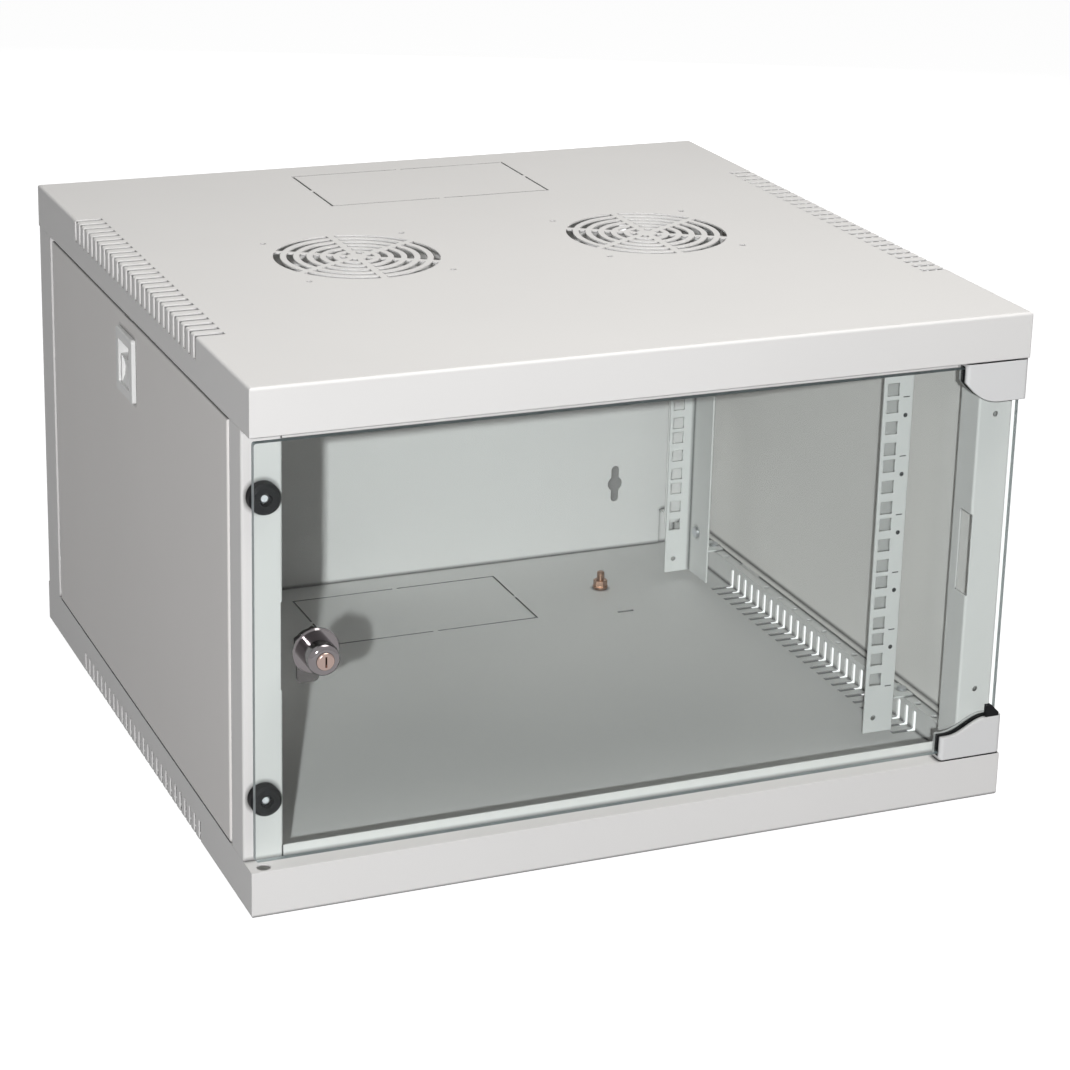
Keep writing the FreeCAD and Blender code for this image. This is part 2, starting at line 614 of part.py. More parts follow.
def latch_housing():
    """Moulded latch case in the left panel, with a rounded rim and a finger recess."""
    half = LATCH_WIDTH / 2
    rim = block(-SIDE - LATCH_PROUD, -SIDE, LATCH_AT_Y - half, LATCH_AT_Y + half,
                LATCH_BOTTOM, LATCH_TOP)
    corners = edges_along(rim, Vector(1, 0, 0), lambda p: True)
    rim = rim.makeFillet(LATCH_CORNER, corners)
    face_edges = [e for e in rim.Edges if e.BoundBox.XMax < -SIDE - LATCH_PROUD + 0.01]
    rim = rim.makeFillet(LATCH_EDGE, face_edges)
    body = block(-SIDE, -SIDE + LATCH_DEPTH, LATCH_AT_Y - half + LATCH_RIM,
                 LATCH_AT_Y + half - LATCH_RIM, LATCH_BOTTOM + LATCH_RIM, LATCH_TOP - LATCH_RIM)
    pocket_half = half - LATCH_RIM - LATCH_WALL
    inset = LATCH_RIM + LATCH_WALL
    pocket = block(-SIDE - LATCH_PROUD - 1, -BOLT_OUT + BOLT_THICK + SLIDE_FIT,
                   LATCH_AT_Y - pocket_half, LATCH_AT_Y + pocket_half,
                   LATCH_BOTTOM + inset, LATCH_TOP - inset)
    bolt_way = block(-BOLT_OUT - SLIDE_FIT, -BOLT_OUT + BOLT_THICK + SLIDE_FIT,
                     LATCH_AT_Y - BOLT_WIDTH / 2 - SLIDE_FIT,
                     LATCH_AT_Y + BOLT_WIDTH / 2 + SLIDE_FIT, LATCH_TOP - inset - 1, LATCH_TOP + 1)
    return cut_all(join([rim, body]), [pocket, bolt_way])


def latch_slider():
    """Thumb piece with its bolt, drawn back: the bolt ends just under the roof's ledge."""
    inset = LATCH_RIM + LATCH_WALL
    half = LATCH_WIDTH / 2 - inset - SLIDE_FIT
    z0 = LATCH_BOTTOM + inset + PIECE_GAP
    x0 = -SIDE - LATCH_PROUD * 0.5
    x1 = -BOLT_OUT + BOLT_THICK
    pad = block(x0, x1, LATCH_AT_Y - half, LATCH_AT_Y + half, z0, z0 + LATCH_PAD)
    scoop_radius = LATCH_PAD
    scoop_start = (x0 - scoop_radius + PAD_SCOOP, LATCH_AT_Y - half + PAD_SCOOP_INSET,
                   z0 + LATCH_PAD / 2)
    scoop = rod(scoop_radius, scoop_start, 2 * (half - PAD_SCOOP_INSET), (0, 1, 0))
    bolt = block(-BOLT_OUT, x1, LATCH_AT_Y - BOLT_WIDTH / 2, LATCH_AT_Y + BOLT_WIDTH / 2,
                 z0 + LATCH_PAD - 1, ROOF_SEAT - 2 * PIECE_GAP)
    return join([pad.cut(scoop), bolt])


# ---- glass door -------------------------------------------------------------------
def door_glass():
    glass = block(-SIDE + GLASS_SIDE_GAP, SIDE - GLASS_SIDE_GAP, GLASS_FRONT, GLASS_BACK,
                  GLASS_BOTTOM, GLASS_TOP)
    corners = edges_along(glass, Vector(0, 1, 0), lambda p: p.x < 0)
    glass = glass.makeFillet(GLASS_CORNER, corners)
    hole = rod(LOCK_BODY_RADIUS + LOCK_HOLE_GAP, (LOCK_X, GLASS_FRONT - 1, MIDDLE),
               GLASS + 2, (0, 1, 0))
    return glass.cut(hole)


def clamp_outline(y, tip, sweep, bulge):
    """Clamp seen from the front, as a lower one: swept up from its tip to full height."""
    z0 = FLOOR_TOP + CLAMP_END_GAP
    z1 = z0 + CLAMP_HEIGHT
    x0 = SIDE - CLAMP_LENGTH
    poles = [Vector(x0 + sweep[0], y, z0 + tip), Vector(x0 + sweep[1], y, z0 + tip + bulge),
             Vector(x0 + sweep[2], y, z1), Vector(x0 + sweep[3], y, z1)]
    edge = Part.BezierCurve()
    edge.setPoles(poles)
    corners = [poles[3], Vector(SIDE, y, z1), Vector(SIDE, y, z0), Vector(x0, y, z0)]
    if sweep[0] > 0:
        corners.append(Vector(x0, y, z0 + tip))
    corners.append(poles[0])
    rim = [edge.toShape()]
    for start, end in zip(corners, corners[1:]):
        rim.append(Part.makeLine(start, end))
    return Part.Face(Part.Wire(rim))


def hinge_clamp(outline):
    """Lower clamp: cast jaw that grips the corner of the glass and holds the pivot."""
    y_end = GLASS_BACK + GASKET + CLAMP_REAR_PLATE
    jaw = outline.extrude(Vector(0, y_end - FRONT, 0))
    upright = edges_along(jaw, Vector(0, 0, 1), lambda p: p.y < FRONT + 0.1)
    upright += edges_along(jaw, Vector(0, 0, 1), lambda p: p.x > SIDE - 1 and p.y > FRONT + 1)
    jaw = jaw.makeFillet(CLAMP_EDGE, upright)
    floor = FLOOR_TOP + CLAMP_END_GAP + CLAMP_FLOOR
    mouth = block(SIDE - CLAMP_LENGTH - 1, SIDE - GLASS_SIDE_GAP + PIECE_GAP,
                  GLASS_FRONT - GASKET, GLASS_BACK + GASKET, floor, floor + CLAMP_HEIGHT)
    hole = rod(PIVOT_RADIUS - 1, (PIVOT_X, PIVOT_Y, floor - CLAMP_FLOOR - 1),
               CLAMP_FLOOR + 2, (0, 0, 1))
    cuts = [mouth, hole]
    for place in clamp_screw_places():
        cuts.append(rod(CLAMP_SCREW_RADIUS, (place[0], GLASS_BACK + GASKET, place[1]),
                        CLAMP_REAR_PLATE, (0, 1, 0)))
    return cut_all(jaw, cuts)


def clamp_screw_places():
    x = SIDE - CLAMP_LENGTH + CLAMP_SCREW_FROM_TIP
    z = FLOOR_TOP + CLAMP_END_GAP + CLAMP_SCREW_UP
    return [(x, z), (x + CLAMP_SCREW_SPACING, z)]


def clamp_gaskets(outline):
    """Thin pads between the glass and both plates of the lower clamp, and under its edge."""
    x0 = SIDE - CLAMP_LENGTH + GASKET_INSET
    x1 = SIDE - GLASS_SIDE_GAP - GASKET_INSET
    floor = FLOOR_TOP + CLAMP_END_GAP + CLAMP_FLOOR
    keep = block(x0, x1, FRONT, REAR, floor, HEIGHT)
    pads = [block(x0, x1, GLASS_FRONT, GLASS_BACK, floor, GLASS_BOTTOM)]
    for y in (GLASS_FRONT - GASKET, GLASS_BACK):
        pad = outline.extrude(Vector(0, GASKET, 0))
        pad.translate(Vector(0, y - FRONT, -GASKET_INSET))
        pads.append(pad.common(keep))
    return join(pads)


def pivot_pin():
    """Lower pivot: shouldered pin riveted into the clamp's floor."""
    z0 = FLOOR_TOP + CLAMP_END_GAP
    shank = rod(PIVOT_RADIUS, (PIVOT_X, PIVOT_Y, z0 - PIVOT_REACH), PIVOT_REACH, (0, 0, 1))
    end = [e for e in shank.Edges if e.BoundBox.ZMax < z0 - PIVOT_REACH + 0.1]
    shank = shank.makeChamfer(PIVOT_POINT, end)
    rivet = rod(PIVOT_RADIUS - 1, (PIVOT_X, PIVOT_Y, z0), CLAMP_FLOOR, (0, 0, 1))
    return join([shank, rivet])


def pivot_bush():
    """Plastic bush in the base pan's lip that the lower pivot turns in."""
    z1 = FLOOR_TOP + BUSH_COLLAR
    sleeve = rod(PIVOT_RADIUS + BUSH_WALL, (PIVOT_X, PIVOT_Y, FLOOR_TOP - SHEET - 1),
                 SHEET + 1, (0, 0, 1))
    collar = rod(PIVOT_RADIUS + BUSH_COLLAR_WIDTH, (PIVOT_X, PIVOT_Y, FLOOR_TOP), BUSH_COLLAR,
                 (0, 0, 1))
    bore = rod(PIVOT_RADIUS + RUNNING_FIT, (PIVOT_X, PIVOT_Y, 0), z1 + 1, (0, 0, 1))
    return join([sleeve, collar]).cut(bore)


def clamp_screws():
    """Flat head screws of both clamps, in their rear plates."""
    screws = []
    y0 = GLASS_BACK + GASKET
    for x, z in clamp_screw_places():
        shank = rod(CLAMP_SCREW_RADIUS, (x, y0, z), CLAMP_REAR_PLATE, (0, 1, 0))
        head = rod(CLAMP_SCREW_HEAD_RADIUS, (x, y0 + CLAMP_REAR_PLATE, z), CLAMP_SCREW_HEAD,
                   (0, 1, 0))
        screws.append(join([shank, head]))
    return Part.makeCompound(screws + [upside_down(s) for s in screws])


def corner_block():
    """Black wedge on the lower clamp's front plate, against the face of the glass."""
    z0 = FLOOR_TOP + CLAMP_END_GAP + CLAMP_HEIGHT
    x1 = SIDE - BLOCK_FROM_SIDE
    wedge = block(x1 - BLOCK_LENGTH, x1, FRONT + BLOCK_SETBACK, GLASS_FRONT, z0,
                  z0 + BLOCK_HEIGHT)
    slope = edges_along(wedge, Vector(0, 1, 0), lambda p: p.z > z0 + 1 and p.x > x1 - 1)
    return wedge.makeChamfer(BLOCK_SLOPE, slope)


# ---- bumpers ----------------------------------------------------------------------
def bumper(z):
    """Rubber buffer on the left upright, dished round its fixing screw."""
    y0 = GLASS_BACK + BUMPER_GAP
    length = FRAME_FRONT - y0
    body = rod(BUMPER_RADIUS, (BUMPER_X, y0, z), length, (0, 1, 0))
    front_edge = [e for e in body.Edges if e.BoundBox.YMax < y0 + 0.1]
    body = body.makeChamfer(BUMPER_EDGE, front_edge)
    dish = rod(BUMPER_HEAD_RADIUS + BUMPER_HEAD_GAP, (BUMPER_X, y0 - 1, z),
               length - BUMPER_SOLE + 1, (0, 1, 0))
    bore = rod(BUMPER_STEM / 2, (BUMPER_X, y0 - 1, z), length + 2, (0, 1, 0))
    return body.cut(dish).cut(bore)


def bumper_screw(z):
    """Round head screw that holds a bumper to the upright."""
    seat = FRAME_FRONT - BUMPER_SOLE
    head = rod(BUMPER_HEAD_RADIUS, (BUMPER_X, seat - BUMPER_HEAD, z), BUMPER_HEAD, (0, 1, 0))
    rim = [e for e in head.Edges if e.BoundBox.YMax < seat - BUMPER_HEAD + 0.1]
    head = head.makeChamfer(BUMPER_HEAD / 2, rim)
    stem = rod(BUMPER_STEM / 2, (BUMPER_X, seat, z), BUMPER_SOLE + SHEET + BUMPER_STEM_END,
               (0, 1, 0))
    return join([head, stem])


# ---- cam lock ---------------------------------------------------------------------
def lock_housing():
    """Chrome lock: domed barrel on a flange, threaded body through the glass."""
    y_front = GLASS_FRONT - LOCK_FLANGE - LOCK_BARREL
    y_back = CAM_FRONT - PIECE_GAP
    flange = rod(LOCK_FLANGE_RADIUS, (LOCK_X, GLASS_FRONT - LOCK_FLANGE, MIDDLE), LOCK_FLANGE,
                 (0, 1, 0))
    edge = [e for e in flange.Edges if e.BoundBox.YMax < GLASS_FRONT - LOCK_FLANGE + 0.1]
    flange = flange.makeChamfer(LOCK_FLANGE / 2, edge)
    barrel = rod(LOCK_BARREL_RADIUS, (LOCK_X, y_front, MIDDLE), LOCK_BARREL, (0, 1, 0))
    nose = [e for e in barrel.Edges if e.BoundBox.YMax < y_front + 0.1]
    barrel = barrel.makeFillet(LOCK_BARREL_EDGE, nose)
    body = rod(LOCK_BODY_RADIUS, (LOCK_X, GLASS_FRONT - 1, MIDDLE), y_back - GLASS_FRONT + 1,
               (0, 1, 0))
    bore = rod(LOCK_CORE_RADIUS + RUNNING_FIT, (LOCK_X, y_front - 1, MIDDLE),
               y_back - y_front + 2, (0, 1, 0))
    return join([flange, barrel, body]).cut(bore)


def lock_core():
    """Turning key plug with a domed face and a key slot."""
    y_front = GLASS_FRONT - LOCK_FLANGE - LOCK_BARREL - LOCK_CORE_DOME
    plug = rod(LOCK_CORE_RADIUS, (LOCK_X, y_front, MIDDLE), CAM_FRONT - y_front, (0, 1, 0))
    nose = [e for e in plug.Edges if e.BoundBox.YMax < y_front + 0.1]
    plug = plug.makeFillet(LOCK_CORE_DOME, nose)
    slot = block(LOCK_X - KEY_SLOT / 2, LOCK_X + KEY_SLOT / 2, y_front - 1,
                 y_front + KEY_SLOT_DEPTH, MIDDLE - KEY_SLOT_LENGTH / 2,
                 MIDDLE + KEY_SLOT_LENGTH / 2)
    return plug.cut(slot)


def lock_nut():
    """Hexagon nut that clamps the lock to the back of the glass."""
    nut = hexagon(LOCK_NUT_ACROSS, (LOCK_X, GLASS_BACK, MIDDLE), LOCK_NUT, (0, 1, 0))
    bore = rod(LOCK_BODY_RADIUS, (LOCK_X, GLASS_BACK - 1, MIDDLE), LOCK_NUT + 2, (0, 1, 0))
    return nut.cut(bore)


def lock_cam():
    """Cam on the plug's end, hanging down: the door is shut but not locked."""
    half = CAM_WIDTH / 2
    arm = block(LOCK_X - half, LOCK_X + half, CAM_FRONT, CAM_FRONT + CAM_THICK,
                MIDDLE - CAM_LENGTH, MIDDLE)
    tip = edges_along(arm, Vector(0, 1, 0), lambda p: p.z < MIDDLE - CAM_LENGTH + 1)
    arm = arm.makeFillet(CAM_CORNER, tip)
    eye = rod(half, (LOCK_X, CAM_FRONT, MIDDLE), CAM_THICK, (0, 1, 0))
    head = hexagon(CAM_HEAD_ACROSS, (LOCK_X, CAM_FRONT + CAM_THICK, MIDDLE), CAM_HEAD, (0, 1, 0))
    return join([arm, eye, head])


# ---- earth point ------------------------------------------------------------------
def earth_stud():
    collar = rod(STUD_COLLAR_RADIUS, (EARTH_X, EARTH_Y, SHEET), STUD_COLLAR, (0, 0, 1))
    shank = rod(STUD_RADIUS, (EARTH_X, EARTH_Y, 0), STUD_HEIGHT, (0, 0, 1))
    end = [e for e in shank.Edges if e.BoundBox.ZMin > STUD_HEIGHT - 0.1]
    return join([shank.makeChamfer(STUD_POINT, end), collar])


def earth_nut(level):
    """Nut and washer on the stud, the washer at the given height."""
    washer = rod(WASHER_RADIUS, (EARTH_X, EARTH_Y, level), WASHER, (0, 0, 1))
    nut = hexagon(NUT_ACROSS, (EARTH_X, EARTH_Y, level + WASHER), NUT_HEIGHT, (0, 0, 1))
    bore = rod(STUD_RADIUS, (EARTH_X, EARTH_Y, level - 1), WASHER + NUT_HEIGHT + 2, (0, 0, 1))
    return join([washer, nut]).cut(bore)


# ---- the whole cabinet --------------------------------------------------------------
def cabinet():
    parts = {
        "base_pan": base_pan(),
        "roof_cover": roof_cover(),
        "back_panel": back_panel(),
        "front_sill": front_strip(),
        "front_header": upside_down(front_strip()),
        "door_glass": door_glass(),
        "lock_housing": lock_housing(),
        "lock_core": lock_core(),
        "lock_nut": lock_nut(),
        "lock_cam": lock_cam(),
        "bumper_lower": bumper(MIDDLE - BUMPER_FROM_MIDDLE),
        "bumper_upper": bumper(MIDDLE + BUMPER_FROM_MIDDLE),
        "bumper_screws": Part.makeCompound([bumper_screw(MIDDLE - BUMPER_FROM_MIDDLE),
                                            bumper_screw(MIDDLE + BUMPER_FROM_MIDDLE)]),
        "clamp_screws": clamp_screws(),
        "hinge_corner_block": corner_block(),
        "rail_screws": all_corners(rail_screw),
        "ledge_screws": all_corners(ledge_screw),
        "earth_stud": earth_stud(),
        "earth_nut": earth_nut(SHEET + STUD_COLLAR),
    }
    lower_face = clamp_outline(FRONT, LOWER_TIP, LOWER_SWEEP, LOWER_BULGE)
    upper_face = clamp_outline(FRONT, UPPER_TIP, UPPER_SWEEP, UPPER_BULGE)
    parts["hinge_clamp_lower"] = hinge_clamp(lower_face)
    parts["hinge_clamp_upper"] = upside_down(hinge_clamp(upper_face))
    parts["clamp_gasket_lower"] = clamp_gaskets(lower_face)
    parts["clamp_gasket_upper"] = upside_down(clamp_gaskets(upper_face))
    lower_and_upper = {
        "pivot_pin": pivot_pin(),
        "pivot_bush": pivot_bush(),
    }
    for name, shape in lower_and_upper.items():
        parts[name + "_lower"] = shape
        parts[name + "_upper"] = upside_down(shape)
    left_and_right = {
        "front_upright": front_upright(),
        "rail_bracket_lower_front": rail_bracket(BRACKET_FRONT_Y),
        "rail_bracket_lower_rear": rail_bracket(BRACKET_REAR_Y),
        "rail_bracket_upper_front": upside_down(rail_bracket(BRACKET_FRONT_Y)),
        "rail_bracket_upper_rear": upside_down(rail_bracket(BRACKET_REAR_Y)),
        "rack_rail_front": rack_rail(RAIL_FRONT_Y, 1),
        "rack_rail_rear": rack_rail(RAIL_REAR_Y, -1),
        "side_panel": side_panel(),
        "latch_housing": latch_housing(),
        "latch_slider": latch_slider(),
    }
    for name, shape in left_and_right.items():
        parts[name + "_left"] = shape
        parts[name + "_right"] = other_side(shape)
    return parts


os.makedirs("parts", exist_ok=True)
for name, shape in cabinet().items():
    shape.exportStep("parts/" + name + ".step")
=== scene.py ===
import bpy
import math
from mathutils import Matrix, Vector


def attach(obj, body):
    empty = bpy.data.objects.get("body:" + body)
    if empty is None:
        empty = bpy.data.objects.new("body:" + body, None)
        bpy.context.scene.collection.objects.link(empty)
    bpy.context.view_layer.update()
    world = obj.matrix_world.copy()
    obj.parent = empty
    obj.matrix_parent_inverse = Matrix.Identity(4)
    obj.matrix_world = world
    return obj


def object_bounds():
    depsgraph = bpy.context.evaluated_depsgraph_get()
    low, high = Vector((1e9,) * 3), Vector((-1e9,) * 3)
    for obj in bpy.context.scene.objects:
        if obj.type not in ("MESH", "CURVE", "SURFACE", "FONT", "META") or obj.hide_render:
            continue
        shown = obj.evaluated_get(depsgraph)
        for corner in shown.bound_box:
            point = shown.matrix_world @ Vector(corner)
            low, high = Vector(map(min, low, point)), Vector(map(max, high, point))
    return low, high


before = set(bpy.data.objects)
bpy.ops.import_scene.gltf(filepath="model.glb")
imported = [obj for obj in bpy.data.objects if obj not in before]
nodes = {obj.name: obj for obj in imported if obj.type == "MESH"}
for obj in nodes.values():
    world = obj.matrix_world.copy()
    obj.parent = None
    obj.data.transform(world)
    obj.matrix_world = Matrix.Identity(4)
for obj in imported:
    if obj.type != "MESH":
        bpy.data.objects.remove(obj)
cad_low, cad_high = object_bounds()

# ---- Floor, backdrop and light -------------------------------------------------------
# A plain white sheet in a plain white room. The sheet carries a painted shadow, set by
# position, under the cabinet and where its shadow is thrown back. A small lamp stands a
# metre behind the camera, a large soft one hangs overhead, and a low one behind the
# cabinet lights its back.
FLOOR_REACH = 6.0
FLOOR_DROP = 0.0005      # sheet below the cabinet's underside
FLOOR_WHITE = 0.95
# painted shadow: the sheet's level under the cabinet and in the shadow drawn behind it
FLOOR_PAINTED_SHADOW = 0.05
FLOOR_SHADE = (0.22, 0.22, 0.22, 1)
FLOOR_BOUNCE = (0.16, 0.16, 0.16, 1)
FOOTPRINT_INSET = 0.008
SHADOW_OVERLAP = 0.016   # shadow's start under the cabinet's rear edge
SHADOW_LEFT_LEAN = 0.32
SHADOW_RIGHT_LEAN = 0.59
SHADOW_PALES = 0.32
SHADOW_END = 1.05
SHADOW_FADE = 0.06
SURROUND_GREY = (0.8, 0.8, 0.8, 1)
SURROUND_LEVEL = 0.04
SURROUND_WHITE = (1, 1, 1, 1)
SURROUND_SEEN = 1.0
KEY_WATTS = 96.0
KEY_SIZE = 0.035
KEY_PLACE = Vector((-1.28, -2.885, 1.275))
KEY_COLOUR = (0.985, 0.99, 1.0)
OVERHEAD_WATTS = 21.5
OVERHEAD_SIZE = 1.0
OVERHEAD_PLACE = Vector((0.35, -0.45, 1.9))
OVERHEAD_COLOUR = (1.0, 0.985, 0.955)
BACK_WATTS = 40.0
BACK_SIZE = 0.28
BACK_PLACE = Vector((0.95, 2.3, 0.18))
BACK_COLOUR = (1.0, 1.0, 1.0)
AIM = Vector((0.0, 0.0, 0.18))


def new_material(name):
    """An empty node material and its tree, with the output node in place."""
    material = bpy.data.materials.new(name)
    material.use_nodes = True
    tree = material.node_tree
    tree.nodes.clear()
    output = tree.nodes.new("ShaderNodeOutputMaterial")
    return material, tree, output


def math_node(tree, operation, first, second=None, number=None):
    """The operation's result on one output, on two, or on one and a number."""
    node = tree.nodes.new("ShaderNodeMath")
    node.operation = operation
    tree.links.new(first, node.inputs[0])
    if second is not None:
        tree.links.new(second, node.inputs[1])
    if number is not None:
        node.inputs[1].default_value = number
    return node.outputs[0]


def mixed(tree, factor, first, second):
    """The first shader where the factor is 0, and the second where it is 1."""
    mix = tree.nodes.new("ShaderNodeMixShader")
    tree.links.new(factor, mix.inputs[0])
    tree.links.new(first, mix.inputs[1])
    tree.links.new(second, mix.inputs[2])
    return mix.outputs[0]


def seen_ray(tree):
    """1 for what the camera sees straight, in a reflection or through glass."""
    path = tree.nodes.new("ShaderNodeLightPath").outputs
    straight = math_node(tree, "MAXIMUM", path["Is Camera Ray"], path["Is Glossy Ray"])
    return math_node(tree, "MAXIMUM", straight, path["Is Transmission Ray"])


def soft_step(tree, value, start, end):
    """Falls smoothly from 1 at start to 0 at end."""
    step = tree.nodes.new("ShaderNodeMapRange")
    step.interpolation_type = "SMOOTHSTEP"
    step.inputs["From Min"].default_value = start
    step.inputs["From Max"].default_value = end
    step.inputs["To Min"].default_value = 1.0
    step.inputs["To Max"].default_value = 0.0
    tree.links.new(value, step.inputs["Value"])
    return step.outputs["Result"]


def within(tree, value, reach):
    """1 as far as the reach on either side of the middle, 0 beyond it."""
    return math_node(tree, "LESS_THAN", math_node(tree, "ABSOLUTE", value), number=reach)


def sheet_level(tree):
    """The sheet's white, much weaker in a painted shadow set by position where the cabinet
    shuts out the light: under it and in the shadow it throws back, away from the lamp."""
    place = tree.nodes.new("ShaderNodeTexCoord").outputs["Object"]
    split = tree.nodes.new("ShaderNodeSeparateXYZ")
    tree.links.new(place, split.inputs[0])
    x, y = split.outputs["X"], split.outputs["Y"]
    # Painted shadow: under the cabinet's footprint, and thrown back behind it along the lamp's
    # leans.
    under = math_node(tree, "MULTIPLY", within(tree, x, cad_high.x - FOOTPRINT_INSET),
                      within(tree, y, cad_high.y - FOOTPRINT_INSET))
    past = math_node(tree, "SUBTRACT", y, number=cad_high.y)
    left_line = math_node(tree, "MULTIPLY", past, number=SHADOW_LEFT_LEAN)
    right_line = math_node(tree, "MULTIPLY", past, number=SHADOW_RIGHT_LEAN)
    edge = (cad_high.x - SHADOW_FADE, cad_high.x)
    left = soft_step(tree, math_node(tree, "SUBTRACT", left_line, x), *edge)
    right = soft_step(tree, math_node(tree, "SUBTRACT", x, right_line), *edge)
    across = math_node(tree, "MULTIPLY", left, right)
    behind = math_node(tree, "GREATER_THAN", past, number=-SHADOW_OVERLAP)
    far = soft_step(tree, past, SHADOW_PALES, SHADOW_END)
    thrown = math_node(tree, "MULTIPLY", across, math_node(tree, "MULTIPLY", behind, far))
    level = tree.nodes.new("ShaderNodeMapRange")
    level.inputs["To Min"].default_value = FLOOR_WHITE
    level.inputs["To Max"].default_value = FLOOR_PAINTED_SHADOW
    tree.links.new(math_node(tree, "MAXIMUM", under, thrown), level.inputs["Value"])
    return level.outputs["Result"]


def matt(tree, colour):
    shader = tree.nodes.new("ShaderNodeBsdfDiffuse")
    shader.inputs["Color"].default_value = colour
    return shader.outputs[0]


def sheet_material():
    """Shows as its own white with a little of the lamps' light, and bounces less."""
    material, tree, output = new_material("pale_sheet")
    white = tree.nodes.new("ShaderNodeEmission")
    tree.links.new(sheet_level(tree), white.inputs["Strength"])
    seen = tree.nodes.new("ShaderNodeAddShader")
    tree.links.new(white.outputs[0], seen.inputs[0])
    tree.links.new(matt(tree, FLOOR_SHADE), seen.inputs[1])
    sheet = mixed(tree, seen_ray(tree), matt(tree, FLOOR_BOUNCE), seen.outputs[0])
    tree.links.new(sheet, output.inputs["Surface"])
    return material


def floor_sheet():
    mesh = bpy.data.meshes.new("floor_sheet")
    r = FLOOR_REACH
    mesh.from_pydata([(-r, -r, 0), (r, -r, 0), (r, r, 0), (-r, r, 0)], [], [(0, 1, 2, 3)])
    sheet = bpy.data.objects.new("floor_sheet", mesh)
    bpy.context.scene.collection.objects.link(sheet)
    sheet.location.z = cad_low.z - FLOOR_DROP
    mesh.materials.append(sheet_material())
    return sheet


def background(tree, colour, level):
    shader = tree.nodes.new("ShaderNodeBackground")
    shader.inputs["Color"].default_value = colour
    shader.inputs["Strength"].default_value = level
    return shader.outputs[0]


def surround():
    """A white room to look at, which gives the cabinet only a dim even light."""
    world = bpy.data.worlds.new("surround")
    world.use_nodes = True
    tree = world.node_tree
    tree.nodes.clear()
    output = tree.nodes.new("ShaderNodeOutputWorld")
    room = mixed(tree, seen_ray(tree), background(tree, SURROUND_GREY, SURROUND_LEVEL),
                 background(tree, SURROUND_WHITE, SURROUND_SEEN))
    tree.links.new(room, output.inputs["Surface"])
    bpy.context.scene.world = world


def lamp(name, place, watts, size, colour):
    """A square lamp that faces the cabinet."""
    data = bpy.data.lights.new(name, "AREA")
    data.energy = watts
    data.size = size
    data.color = colour
    light = bpy.data.objects.new(name, data)
    light.location = place
    light.rotation_mode = "QUATERNION"
    light.rotation_quaternion = (AIM - place).to_track_quat("-Z", "Y")
    bpy.context.scene.collection.objects.link(light)
    return light


floor_sheet()
surround()
lamp("key_lamp", KEY_PLACE, KEY_WATTS, KEY_SIZE, KEY_COLOUR)
lamp("overhead_lamp", OVERHEAD_PLACE, OVERHEAD_WATTS, OVERHEAD_SIZE, OVERHEAD_COLOUR)
back_lamp = lamp("back_lamp", BACK_PLACE, BACK_WATTS, BACK_SIZE, BACK_COLOUR)
back_lamp.visible_glossy = False    # it would mirror in the roof
bpy.context.scene.view_settings.view_transform = "Standard"

# ---- Camera --------------------------------------------------------------------------
# Stands to the left of the front and looks slightly down on the roof. The shift
# keeps the cabinet where it lies in the frame.
CAMERA_AZIMUTH = math.radians(-23.414)
CAMERA_ELEVATION = math.radians(17.796)
CAMERA_ROLL = math.radians(1.615)
CAMERA_DISTANCE = 2.1322
CAMERA_TARGET = Vector((0.02958, -0.0400, 0.24574))
CAMERA_LENS_IN_WIDTHS = 2.76186
CAMERA_SHIFT = (-0.0234, -0.1236)
SENSOR = 36.0


def camera():
    data = bpy.data.cameras.new("camera")
    data.sensor_width = SENSOR
    data.lens = CAMERA_LENS_IN_WIDTHS * SENSOR
    data.shift_x, data.shift_y = CAMERA_SHIFT
    view = bpy.data.objects.new("camera", data)
    back = Vector((math.sin(CAMERA_AZIMUTH) * math.cos(CAMERA_ELEVATION),
                   -math.cos(CAMERA_AZIMUTH) * math.cos(CAMERA_ELEVATION),
                   math.sin(CAMERA_ELEVATION)))
    level_right = (-back).cross(Vector((0, 0, 1))).normalized()
    level_up = level_right.cross(-back)
    right = math.cos(CAMERA_ROLL) * level_right + math.sin(CAMERA_ROLL) * level_up
    up = -math.sin(CAMERA_ROLL) * level_right + math.cos(CAMERA_ROLL) * level_up
    turn = Matrix((right, up, back)).transposed()
    view.matrix_world = Matrix.Translation(CAMERA_TARGET + back * CAMERA_DISTANCE) @ turn.to_4x4()
    bpy.context.scene.collection.objects.link(view)
    bpy.context.scene.camera = view


camera()

# ---- Roof cover and base pan ---------------------------------------------------------
# Two pressed trays of 1.2 mm steel, which differ in the roof's fan grilles and in the
# slots that hold the side panels. Light grey powder coat with a fine orange peel,
# baked on after pressing.
CASE_GREY = (0.70, 0.69, 0.68, 1)
CASE_ROUGHNESS = 0.42
PAINT_IOR = 1.5
PAINT_SHINE = 0.12
CLOUD_SCALE = 5.0
CLOUD_DETAIL = 3.0
CLOUD_SPREAD = 0.035
PEEL_SCALE = 1500.0
PEEL_DETAIL = 2.0
PEEL_DEPTH = 0.00003
PEEL_STRENGTH = 0.05
EDGE_ROUNDING = 0.0010
EDGE_SAMPLES = 4
NARROW_GAP = 0.0035      # painted shade darkens slits and gaps narrower than this
GAP_SAMPLES = 8
GAP_FALL = 2.0
# colour of the painted shade in narrow slits and gaps
CREVICE_SHADE = (0.02, 0.02, 0.02, 1)


def noise(tree, place, scale, detail):
    """Fine or coarse noise over the surface, from 0 to 1."""
    texture = tree.nodes.new("ShaderNodeTexNoise")
    texture.inputs["Scale"].default_value = scale
    texture.inputs["Detail"].default_value = detail
    tree.links.new(place, texture.inputs["Vector"])
    return texture.outputs["Fac"]


